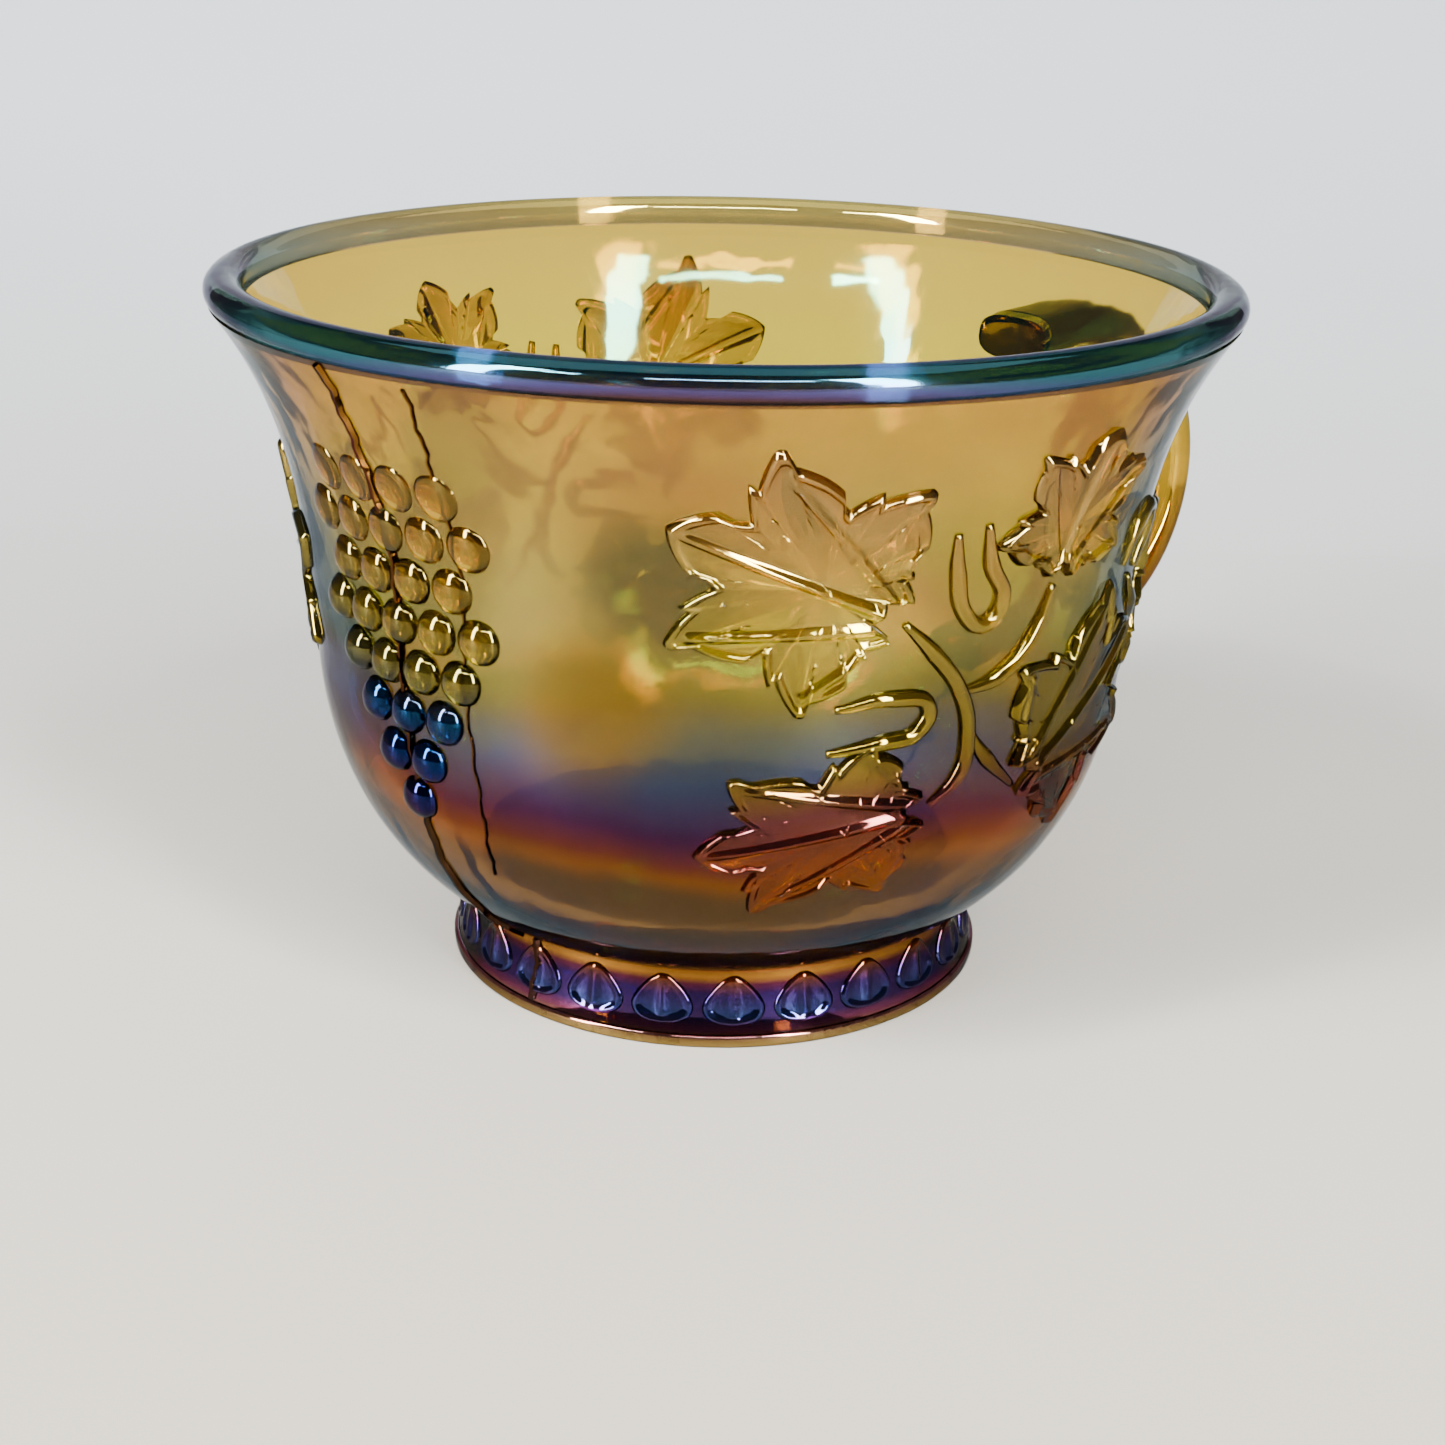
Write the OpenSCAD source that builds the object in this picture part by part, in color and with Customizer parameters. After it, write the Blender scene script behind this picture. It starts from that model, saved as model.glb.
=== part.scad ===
// Pressed carnival glass punch cup: a footed round bowl with a strap handle,
// moulded vine leaves, tendrils and one bunch of grapes.
// Millimetres, +Z up. The origin is the centre of the foot's underside and the
// handle points along +X.

/* [Bowl] */
// Diameter over the rim bead
rim_d = 92; // [84:1:100]
// Height of the cup to the top of the rim bead
cup_h = 65.2; // [60:0.2:72]
// Outer radius of the bowl at its waist
waist_r = 37.4; // [35:0.1:39]
// Height of the waist above the table
waist_z = 32; // [29:0.5:35]
// Thickness of the pressed wall
wall_t = 3; // [2.4:0.1:3.6]
// Thickness of the floor
floor_t = 3.6; // [3:0.1:4.5]

/* [Rim bead] */
// Height of the bead above the wall
bead_h = 2.7; // [2.2:0.1:3.2]

/* [Foot] */
// Radius of the foot where it meets the bowl
foot_neck_r = 24.3; // [23:0.1:25]
// Outer radius of the foot flange
flange_r = 25.5; // [25.3:0.1:27]
// Thickness of the foot flange
flange_t = 1.2; // [0.8:0.1:1.6]
// Radius of the hollow under the foot
recess_r = 20; // [18:0.5:21]
// Number of petals round the foot
petals = 24; // [18:1:28]

/* [Handle] */
// Reach of the handle from the cup's axis
handle_reach = 66; // [62:0.5:70]
// Outer radius of the handle's loop
loop_r = 18; // [16:0.5:19]
// Height of the centre of the loop
loop_z = 38; // [36:0.5:40]
// Width of the strap
strap_w = 9; // [7:0.5:11]
// Thickness of the strap
strap_t = 4.4; // [3.6:0.1:5]

/* [Relief] */
// Height of the leaves above the wall
leaf_h = 0.6; // [0.4:0.05:0.9]
// Direction of the mould seam and the grapes, from the handle
seam_az = 184.5; // [176:0.5:190]
// Direction of the vine joint of the front panel, from the handle
vine_az = 259; // [250:0.5:266]
// Height of the vine joint
vine_z = 35; // [33:0.5:37]
// Diameter of a grape
grape_d = 4.2; // [3.6:0.1:4.6]

/* [Hidden] */
$fn = 180;

// The lower bowl is a quarter ellipse whose centre stands off the axis
belly_off = 15;
belly_a = waist_r - belly_off;
belly_b = waist_z - 4.6;
// Above the waist the wall drifts out slowly and then flares to the rim
wall_top_z = cup_h - bead_h;
drift = 2.6;
flare = rim_d / 2 - 0.4 - waist_r - drift;
flare_power = 3.5;
wall_steps = 12;

// Bead: an ellipse standing on the wall's top edge
bead_a = 1.75;
bead_b = 1.5;
bead_cz = cup_h - bead_b;
bead_cr = rim_d / 2 - bead_a;

foot_mid_r = foot_neck_r + 0.4;
petal_h = 0.35;
seam_w = 0.5;
seam_h = 0.25;
grape_rows = [4, 5, 4, 5, 4, 3, 2, 1];
grape_pitch = grape_d + 0.1;
grape_row_dz = 4;
grape_top_z = 52;
// Millimetres of wall along one degree of turn at the waist
mm_deg = waist_r * PI / 180;
// A vine leaf is drawn this size and scaled
leaf_points = 36;

glass_amber = "#c49a48";
glass_rim = "#23464d";
glass_foot = "#5b3a86";
glass_leaf = "#b98a3e";
glass_grape = "#3a3f8c";

// Points of an arc of an ellipse, from angle a0 to a1
function arc(cr, cz, a, b, a0, a1, n) =
    [for (i = [0 : n]) let (w = a0 + (a1 - a0) * i / n) [cr + a * cos(w), cz + b * sin(w)]];

// Radius of the outer wall above the waist
function flare_r(z) = let (t = (z - waist_z) / (wall_top_z - waist_z))
    waist_r + drift * t + flare * pow(t, flare_power);

// Outer side of the bowl, from the foot's hollow up to the wall's top, set out by d
function wall_side(d) = concat(
    arc(belly_off, waist_z, belly_a + d, belly_b + d, -90, 0, wall_steps),
    [for (i = [1 : wall_steps])
        let (z = waist_z + (wall_top_z - waist_z) * i / wall_steps) [flare_r(z) + d, z]]);

function reversed(p) = [for (i = [len(p) - 1 : -1 : 0]) p[i]];

// The solid inside the wall's outer side, set out by d and carried up to top_z
module wall_body(d, top_z) {
    side = wall_side(d);
    rotate_extrude()
        polygon(concat([[0, side[0][1]]], side, [[side[len(side) - 1][0], top_z], [0, top_z]]));
}

// A thin skin on the outside of the wall, from which the relief is cut
module wall_skin(h) {
    rotate_extrude()
        polygon(concat(wall_side(0), reversed(wall_side(h))));
}

module bowl() {
    inside = concat(
        arc(belly_off, waist_z, belly_a - wall_t, belly_b - floor_t, -90, 0, wall_steps),
        [for (i = [1 : wall_steps])
            let (z = waist_z + (wall_top_z - waist_z) * i / wall_steps) [flare_r(z) - wall_t, z]]);
    outside = wall_side(0);
    color(glass_amber)
    rotate_extrude()
        polygon(concat([[0, outside[0][1]]], outside, reversed(inside), [[0, inside[0][1]]]));
}

module rim_bead() {
    low = -asin((bead_cz - wall_top_z) / bead_b);
    color(glass_rim)
    rotate_extrude()
        polygon(arc(bead_cr, bead_cz, bead_a, bead_b, low, 180 - low, 24));
}

// The foot is a ring under the belly, hollow in the middle
module foot_ring() {
    color(glass_foot)
    difference() {
        rotate_extrude()
            polygon([[recess_r, flange_t], [foot_mid_r + 0.4, flange_t], [foot_mid_r, 3.4],
                     [foot_neck_r, 5.4], [foot_neck_r, 9], [recess_r - 1.5, 9]]);
        wall_body(0, wall_top_z);
    }
}

module foot_flange() {
    color(glass_foot)
    rotate_extrude()
        polygon([[recess_r, 0], [flange_r - 0.4, 0], [flange_r, 0.4],
                 [flange_r, flange_t - 0.3], [flange_r - 0.3, flange_t], [recess_r, flange_t]]);
}

// One petal: a long tongue with a round lower end, standing on the foot's side
module petal() {
    translate([foot_neck_r - 1, 0, 0]) rotate([90, 0, 90])
        linear_extrude(2.5)
            union() {
                translate([0, 3.8]) circle(d = 4.4, $fn = 24);
                translate([-0.8, 3.8]) square([1.6, 2.2]);
            }
}

module foot_petals() {
    color(glass_foot)
    difference() {
        intersection() {
            rotate_extrude()
                polygon([[foot_neck_r - 0.8, flange_t + 0.2],
                         [foot_mid_r + 0.3 + petal_h, flange_t + 0.2],
                         [foot_mid_r + petal_h, 3.4], [foot_neck_r + petal_h, 5.4],
                         [foot_neck_r, 6.2], [foot_neck_r - 0.8, 6.2]]);
            for (i = [0 : petals - 1])
                rotate(360 / petals * (i + 0.5)) petal();
        }
        foot_ring();
    }
}

// Section of the strap: a flattened round of width strap_w and thickness strap_t
function strap_side(power, n) = [for (i = [0 : n - 1]) let (w = 360 * i / n)
    [strap_t / 2 * sign(cos(w)) * pow(abs(cos(w)), power),
     strap_w / 2 * sign(sin(w)) * pow(abs(sin(w)), power)]];

// Straight end of the strap, from the loop in to the wall
module strap_end(z) {
    loop_x = handle_reach - loop_r;
    translate([loop_x, 0, z]) rotate([0, -90, 0])
        linear_extrude(loop_x - 28) polygon(strap_side(0.6, 24));
}

module handle() {
    mid_r = loop_r - strap_t / 2;
    color(glass_amber)
    difference() {
        union() {
            translate([handle_reach - loop_r, 0, loop_z])
                rotate([90, 0, 0]) rotate(-90)
                    rotate_extrude(angle = 180)
                        translate([mid_r, 0]) polygon(strap_side(0.6, 24));
            strap_end(loop_z + mid_r);
            strap_end(loop_z - mid_r);
        }
        wall_body(0, wall_top_z);
    }
}

// Rows of round grapes that narrow downwards
module grape_bunch() {
    color(glass_grape)
    difference() {
        for (row = [0 : len(grape_rows) - 1], k = [0 : grape_rows[row] - 1]) {
            z = grape_top_z - row * grape_row_dz;
            r = z > waist_z ? flare_r(z)
                            : belly_off + belly_a * sqrt(1 - pow((waist_z - z) / belly_b, 2));
            turn = seam_az + (k - (grape_rows[row] - 1) / 2) * grape_pitch / mm_deg;
            rotate(turn) translate([r - 0.6, 0, z]) sphere(d = grape_d, $fn = 72);
        }
        wall_body(0, wall_top_z);
    }
}

// Outline of a vine leaf of radius 1 that points along +X: five lobes and a notched base
function leaf_r(w) = (0.68 + 0.32 * pow(abs(cos(3 * w)), 1.4))
    * (1 - 0.3 * abs(w) / 180) * (abs(w) > 150 ? 0.6 : 1);
function leaf_side() = [for (i = [0 : leaf_points - 1])
    let (w = -180 + 360 * (i + 0.5) / leaf_points) leaf_r(w) * [cos(w), sin(w)]];

// A leaf on the wall: u is along the wall and v is up, both from the vine joint
module leaf(u, v, length, width, turn) {
    intersection() {
        wall_skin(leaf_h);
        rotate(vine_az + u / mm_deg) translate([0, 0, vine_z + v])
            rotate([90, 0, 90]) linear_extrude(60)
                rotate(turn)
                    polygon([for (p = leaf_side()) [p[0] * length / 2, p[1] * width / 2]]);
    }
}

module leaf_upper_left() { color(glass_leaf) leaf(-12.5, 11.5, 28, 24, 155); }
module leaf_lower()      { color(glass_leaf) leaf(-9.5, -9.5, 28, 17, 190); }
module leaf_right()      { color(glass_leaf) leaf(14, -4.5, 30, 22, 28); }
module leaf_top()        { color(glass_leaf) leaf(9.5, 14.5, 18, 18, 80); }
module leaf_outer()      { color(glass_leaf) leaf(38, 3, 30, 24, 20); }

module front_leaf_upper_left() { leaf_upper_left(); }
module front_leaf_lower()      { leaf_lower(); }
module front_leaf_right()      { leaf_right(); }
module front_leaf_top()        { leaf_top(); }
module front_leaf_outer()      { leaf_outer(); }
// The same mould half is used again on the far side
module back_leaf_upper_left()  { rotate(180) leaf_upper_left(); }
module back_leaf_lower()       { rotate(180) leaf_lower(); }
module back_leaf_right()       { rotate(180) leaf_right(); }
module back_leaf_top()         { rotate(180) leaf_top(); }
module back_leaf_outer()       { rotate(180) leaf_outer(); }

// A bent tendril on the wall: half a ring with two straight legs
module tendril(u, v, bend_r, leg, turn) {
    intersection() {
        wall_skin(leaf_h);
        rotate(vine_az + u / mm_deg) translate([0, 0, vine_z + v])
            rotate([90, 0, 90]) linear_extrude(60)
                rotate(turn) {
                    difference() {
                        circle(bend_r + 0.5, $fn = 48);
                        circle(bend_r - 0.5, $fn = 48);
                        translate([-9, 0]) square([18, 9]);
                    }
                    for (side = [-1, 1])
                        translate([side * bend_r - 0.5, 0]) square([1, leg]);
                }
    }
}

module tendrils() {
    color(glass_leaf) {
        tendril(0.5, 9.5, 1.9, 6, 12);
        tendril(-3.5, -1.5, 1.5, 7, 95);
        tendril(25, 12.5, 2.4, 6, -25);
    }
}
module front_tendrils() { tendrils(); }
module back_tendrils()  { rotate(180) tendrils(); }

// Thin raised lines where the mould's parts met
module seam_line(az, z0, z1) {
    intersection() {
        wall_skin(seam_h);
        rotate(az) translate([15, -seam_w / 2, z0]) cube([40, seam_w, z1 - z0]);
    }
}

module mould_seams() {
    color(glass_amber) {
        seam_line(seam_az, 8, 20);
        seam_line(seam_az, 55.5, wall_top_z);
        seam_line(0, 8, 15);
    }
}

bowl();
rim_bead();
foot_ring();
foot_flange();
foot_petals();
handle();
grape_bunch();
front_leaf_upper_left();
front_leaf_lower();
front_leaf_right();
front_leaf_top();
front_leaf_outer();
back_leaf_upper_left();
back_leaf_lower();
back_leaf_right();
back_leaf_top();
back_leaf_outer();
front_tendrils();
back_tendrils();
mould_seams();
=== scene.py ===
"""Carnival glass punch cup of pressed amber glass with a film, built round its CAD frame."""
import math

import bpy
from mathutils import Matrix, Vector


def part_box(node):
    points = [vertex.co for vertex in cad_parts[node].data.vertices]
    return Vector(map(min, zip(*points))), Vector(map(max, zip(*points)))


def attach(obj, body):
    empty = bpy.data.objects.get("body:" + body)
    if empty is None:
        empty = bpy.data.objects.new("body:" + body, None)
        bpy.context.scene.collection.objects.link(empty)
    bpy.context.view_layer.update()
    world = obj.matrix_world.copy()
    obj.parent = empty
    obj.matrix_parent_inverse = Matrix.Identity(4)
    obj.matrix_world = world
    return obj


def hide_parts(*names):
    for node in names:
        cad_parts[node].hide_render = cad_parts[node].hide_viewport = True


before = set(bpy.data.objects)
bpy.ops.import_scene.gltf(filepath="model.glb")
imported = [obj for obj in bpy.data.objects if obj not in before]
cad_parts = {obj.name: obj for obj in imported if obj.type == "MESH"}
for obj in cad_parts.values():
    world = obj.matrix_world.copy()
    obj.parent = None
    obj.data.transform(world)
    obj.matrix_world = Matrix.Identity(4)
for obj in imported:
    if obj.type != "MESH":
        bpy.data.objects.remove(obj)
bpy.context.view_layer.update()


# ---------------------------------------------------------------- camera
# The cup is seen from a little above its rim, with the handle behind it on the right.
# The lens is somewhat longer than a normal one, and the camera is rolled by about a degree.
MM = 0.001
HANDLE_AZ = math.radians(42)
VIEW_FROM = math.radians(270) - HANDLE_AZ
CAMERA_REACH = 210.4 * MM
CAMERA_HEIGHT = 99.3 * MM
CAMERA_PITCH = 0.3542
CAMERA_ROLL = 0.021
CAMERA_YAW = -0.0021
CAMERA_NEAR = 0.01
SENSOR = 36.0
LENS = 58.3

look = VIEW_FROM + math.pi + CAMERA_YAW
forward = Vector((math.cos(look) * math.cos(CAMERA_PITCH),
                  math.sin(look) * math.cos(CAMERA_PITCH), -math.sin(CAMERA_PITCH)))
right = forward.cross(Vector((0, 0, 1))).normalized()
up = right.cross(forward)
roll_right = right * math.cos(CAMERA_ROLL) + up * math.sin(CAMERA_ROLL)
roll_up = up * math.cos(CAMERA_ROLL) - right * math.sin(CAMERA_ROLL)
camera_data = bpy.data.cameras.new("studio_camera")
camera_data.sensor_width = SENSOR
camera_data.lens = LENS
camera_data.clip_start = CAMERA_NEAR
camera = bpy.data.objects.new("studio_camera", camera_data)
bpy.context.scene.collection.objects.link(camera)
camera.matrix_world = Matrix((roll_right, roll_up, -forward)).transposed().to_4x4()
camera.location = (CAMERA_REACH * math.cos(VIEW_FROM), CAMERA_REACH * math.sin(VIEW_FROM),
                   CAMERA_HEIGHT)
bpy.context.scene.camera = camera


# ---------------------------------------------------------------- studio
# A white sweep of card under and behind the cup. Two tall strip lamps and two tube lamps give
# the glass its bright streaks, and a large softbox above lights the card.
def srgb(code):
    """An sRGB hex colour as the linear colour that a shader takes."""
    parts = [int(code[i:i + 2], 16) / 255 for i in (1, 3, 5)]
    return [p / 12.92 if p <= 0.04045 else ((p + 0.055) / 1.055) ** 2.4 for p in parts] + [1.0]


def add_node(tree, kind, links=(), values=None, **settings):
    """Adds a node. Settings are properties or named sockets, values are by socket number,
    and links are pairs of a socket and the output that feeds it."""
    node = tree.nodes.new(kind)
    for key, value in settings.items():
        if hasattr(node, key):
            setattr(node, key, value)
        else:
            node.inputs[key.replace("_", " ")].default_value = value
    for socket, value in (values or {}).items():
        node.inputs[socket].default_value = value
    for socket, output in links:
        tree.links.new(output, node.inputs[socket])
    return node


def new_material(name):
    """An empty material and its node tree."""
    material = bpy.data.materials.new(name)
    material.use_nodes = True
    material.node_tree.nodes.clear()
    return material, material.node_tree


SKY_COLOUR = "#e9eef6"
SKY_STRENGTH = 0.3
world = bpy.data.worlds.new("studio_world")
bpy.context.scene.world = world
world.use_nodes = True
sky = world.node_tree.nodes["Background"]
sky.inputs["Color"].default_value = srgb(SKY_COLOUR)
sky.inputs["Strength"].default_value = SKY_STRENGTH

# Name, turn from the camera's side (degrees), distance and height (mm), sides (mm), watts
LAMPS = [("tall_strip_left", -54, 660, 380, (110, 700), 50.0),
         ("tall_strip_right", 34, 660, 380, (110, 700), 50.0),
         ("tube_overhead", 1, 680, 740, (520, 45), 12.0),
         ("tube_left", -44, 680, 700, (200, 35), 7.0),
         ("top_softbox", 180, 200, 1100, (1300, 900), 7.0)]
AIM_HEIGHT = 35
for name, turn, distance, height, size, power in LAMPS:
    lamp_data = bpy.data.lights.new(name, "AREA")
    lamp_data.shape = "RECTANGLE"
    lamp_data.size, lamp_data.size_y = size[0] * MM, size[1] * MM
    lamp_data.energy = power
    lamp = bpy.data.objects.new(name, lamp_data)
    bpy.context.scene.collection.objects.link(lamp)
    az = VIEW_FROM + math.radians(turn)
    lamp.location = (Vector((math.cos(az), math.sin(az), 0)) * distance * MM
                     + Vector((0, 0, height * MM)))
    towards_cup = Vector((0, 0, AIM_HEIGHT * MM)) - lamp.location
    lamp.rotation_euler = towards_cup.to_track_quat("-Z", "Y").to_euler()

# Matt white card: rough paper board with no gloss. Its colour runs from a darker cream in front
# to a lighter cool grey towards the back, with faint blotches: painted light on one white sheet,
# so the ground reads as one soft sheet
AWAY = Vector((-math.cos(VIEW_FROM), -math.sin(VIEW_FROM), 0))
CARD_DIM_FRONT = "#746e62"
CARD_LIT_BACK = "#868a8e"
DIM_UP_TO = -0.08
LIT_FROM = 0.4
BLOTCH_SCALE = 9.0
BLOTCH_SHIFT = 0.08
card, tree = new_material("matt_white_card")
place = add_node(tree, "ShaderNodeTexCoord")
along = add_node(tree, "ShaderNodeVectorMath", operation="DOT_PRODUCT",
                 links=[(0, place.outputs["Object"])], values={1: AWAY})
blotch = add_node(tree, "ShaderNodeTexNoise", links=[("Vector", place.outputs["Object"])],
                  Scale=BLOTCH_SCALE, Detail=4.0)
mottled = add_node(tree, "ShaderNodeMath", operation="MULTIPLY_ADD", values={1: BLOTCH_SHIFT},
                   links=[(0, blotch.outputs["Fac"]), (2, along.outputs["Value"])])
lit_share = add_node(tree, "ShaderNodeMapRange", links=[("Value", mottled.outputs[0])],
                From_Min=DIM_UP_TO, From_Max=LIT_FROM)
painted_light_colour = add_node(tree, "ShaderNodeMix", data_type="RGBA", links=[(0, lit_share.outputs[0])],
                 values={6: srgb(CARD_DIM_FRONT), 7: srgb(CARD_LIT_BACK)})
shader = add_node(tree, "ShaderNodeBsdfPrincipled", Roughness=0.6,
                  links=[("Base Color", painted_light_colour.outputs[2])])
add_node(tree, "ShaderNodeOutputMaterial", links=[("Surface", shader.outputs[0])])


def flat_card(name, depth, half, shift=(0, 0, 0)):
    """A flat sheet of card; depth and half are half of its sides (m)."""
    bpy.ops.object.select_all(action="DESELECT")
    bpy.ops.mesh.primitive_plane_add(size=2)
    sheet = bpy.context.object
    sheet.name = name
    bpy.ops.transform.resize(value=(depth, half, 1))
    bpy.ops.transform.translate(value=shift)
    bpy.ops.object.transform_apply()
    return sheet


def turn_card(sheet):
    """Turns a card so that its +X side points away from the camera, and finishes it."""
    sheet.rotation_euler = (0, 0, VIEW_FROM + math.pi)
    bpy.ops.object.transform_apply()
    sheet.data.materials.append(card)


# A wide card lies on the table, and a narrow one curves up behind the cup, so that the dark
# room beside it still shows in the sides of the glass
TABLE_HALF = 1.6
SWEEP_HALF = 0.31
SWEEP_DEPTH = 0.01
SWEEP_BACK = 0.12
SWEEP_CURVE = 0.6
SWEEP_WALL = 0.6
SWEEP_SINK = 0.0003
SWEEP_STEPS = 48
table_card = flat_card("table_card", TABLE_HALF, TABLE_HALF)
turn_card(table_card)

backdrop_card = flat_card("backdrop_card", SWEEP_DEPTH, SWEEP_HALF,
                          shift=(SWEEP_BACK - SWEEP_DEPTH, 0, -SWEEP_SINK))
bpy.ops.object.mode_set(mode="EDIT")
bpy.ops.mesh.select_all(action="DESELECT")
bpy.ops.object.mode_set(mode="OBJECT")
for edge in backdrop_card.data.edges:
    ends = [backdrop_card.data.vertices[v].co.x for v in edge.vertices]
    edge.select = min(ends) > SWEEP_BACK - MM
bpy.ops.object.mode_set(mode="EDIT")
bpy.ops.mesh.spin(steps=SWEEP_STEPS, angle=math.pi / 2, center=(SWEEP_BACK, 0, SWEEP_CURVE),
                  axis=(0, 1, 0))
bpy.ops.mesh.extrude_edges_move(TRANSFORM_OT_translate={"value": (0, 0, SWEEP_WALL)})
bpy.ops.object.mode_set(mode="OBJECT")
bpy.ops.object.shade_smooth()
turn_card(backdrop_card)


# ---------------------------------------------------------------- bowl
# The wall and floor of the cup: one skin of pressed amber glass about 3 mm thick, pushed out in
# an iron mould. Inside and outside are fire polished, and a metal film makes them iridescent.
RIM_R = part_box("rim_bead")[1].x / MM
CUP_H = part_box("rim_bead")[1].z / MM
WALL_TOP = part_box("bowl")[1].z / MM
BOWL_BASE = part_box("bowl")[0].z / MM
WAIST_R = 37.4
WAIST_Z = 32.0
BELLY_OFF = 15.0
WALL_T = 3.0
FLOOR_T = 3.6
DRIFT = 2.6
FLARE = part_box("bowl")[1].x / MM - WAIST_R - DRIFT
FLARE_POWER = 3.5
RING_STEPS = 192
PROFILE_STEPS = 26
WELD = 1e-6
SMOOTH_ANGLE = math.radians(40)


def wall_r(z, inset=0.0, lift=0.0):
    """Radius of the wall's side at a height (mm); inset and lift give the inner side."""
    if z < WAIST_Z:
        share = min(1.0, (WAIST_Z - z) / (WAIST_Z - BOWL_BASE - lift))
        return BELLY_OFF + (WAIST_R - inset - BELLY_OFF) * math.sqrt(1 - share * share)
    t = (z - WAIST_Z) / (WALL_TOP - WAIST_Z)
    return WAIST_R - inset + DRIFT * t + FLARE * t ** FLARE_POWER


def wall_side(inset=0.0, lift=0.0):
    """Points (radius, height) up one side of the wall."""
    points = []
    for i in range(PROFILE_STEPS + 1):
        w = math.pi / 2 * (i / PROFILE_STEPS - 1)
        points.append((BELLY_OFF + (WAIST_R - inset - BELLY_OFF) * math.cos(w),
                       WAIST_Z + (WAIST_Z - BOWL_BASE - lift) * math.sin(w)))
    for i in range(1, PROFILE_STEPS + 1):
        z = WAIST_Z + (WALL_TOP - WAIST_Z) * i / PROFILE_STEPS
        points.append((wall_r(z, inset), z))
    return points


def turned(name, outline, closed_ring=False):
    """Pulls a ring of points along an outline of (radius, height), as on a lathe."""
    bpy.ops.object.select_all(action="DESELECT")
    radius, height = outline[0]
    bpy.ops.mesh.primitive_circle_add(vertices=RING_STEPS, radius=radius * MM,
                                      location=(0, 0, height * MM))
    piece = bpy.context.object
    piece.name = name
    bpy.ops.object.transform_apply()
    bpy.ops.object.mode_set(mode="EDIT")
    bpy.ops.mesh.select_all(action="SELECT")
    if not closed_ring:
        bpy.ops.mesh.extrude_edges_move()
        bpy.ops.mesh.merge(type="COLLAPSE")
        bpy.ops.mesh.select_all(action="DESELECT")
        bpy.ops.object.mode_set(mode="OBJECT")
        for v in piece.data.vertices:
            v.select = v.co.xy.length > radius * MM / 2
        bpy.ops.object.mode_set(mode="EDIT")
    trail = outline[1:] + ([outline[0]] if closed_ring else [])
    for r, z in trail:
        rise = (0, 0, (z - height) * MM)
        bpy.ops.mesh.extrude_edges_move(TRANSFORM_OT_translate={"value": rise})
        bpy.ops.transform.resize(value=(r / radius, r / radius, 1), center_override=(0, 0, 0))
        radius, height = r, z
    if not closed_ring:
        bpy.ops.mesh.extrude_edges_move()
        bpy.ops.mesh.merge(type="COLLAPSE")
    bpy.ops.mesh.select_all(action="SELECT")
    bpy.ops.mesh.remove_doubles(threshold=WELD)
    bpy.ops.mesh.normals_make_consistent(inside=False)
    bpy.ops.object.mode_set(mode="OBJECT")
    bpy.ops.object.shade_smooth_by_angle(angle=SMOOTH_ANGLE)
    return piece


GLASS_IOR = 1.5
GRAZING = "#34506c"
FILM_MAX = 800.0
FILM_CHANGE = 25.0
WANDER_SCALE = 32.0
PATCH_SCALE = 60.0
PATCH_LOW = 0.3
PATCH_HIGH = 0.7
PATCH_COVER = 0.85
PATCH_BLUR = 0.8
RIPPLE_SCALE = 140.0
RIPPLE_MM = 0.25
RIPPLE_STRENGTH = 0.5
POLISH = 0.04
HAZE = 0.06
HAZE_LOW = 0.35
HAZE_HIGH = 0.75


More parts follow.
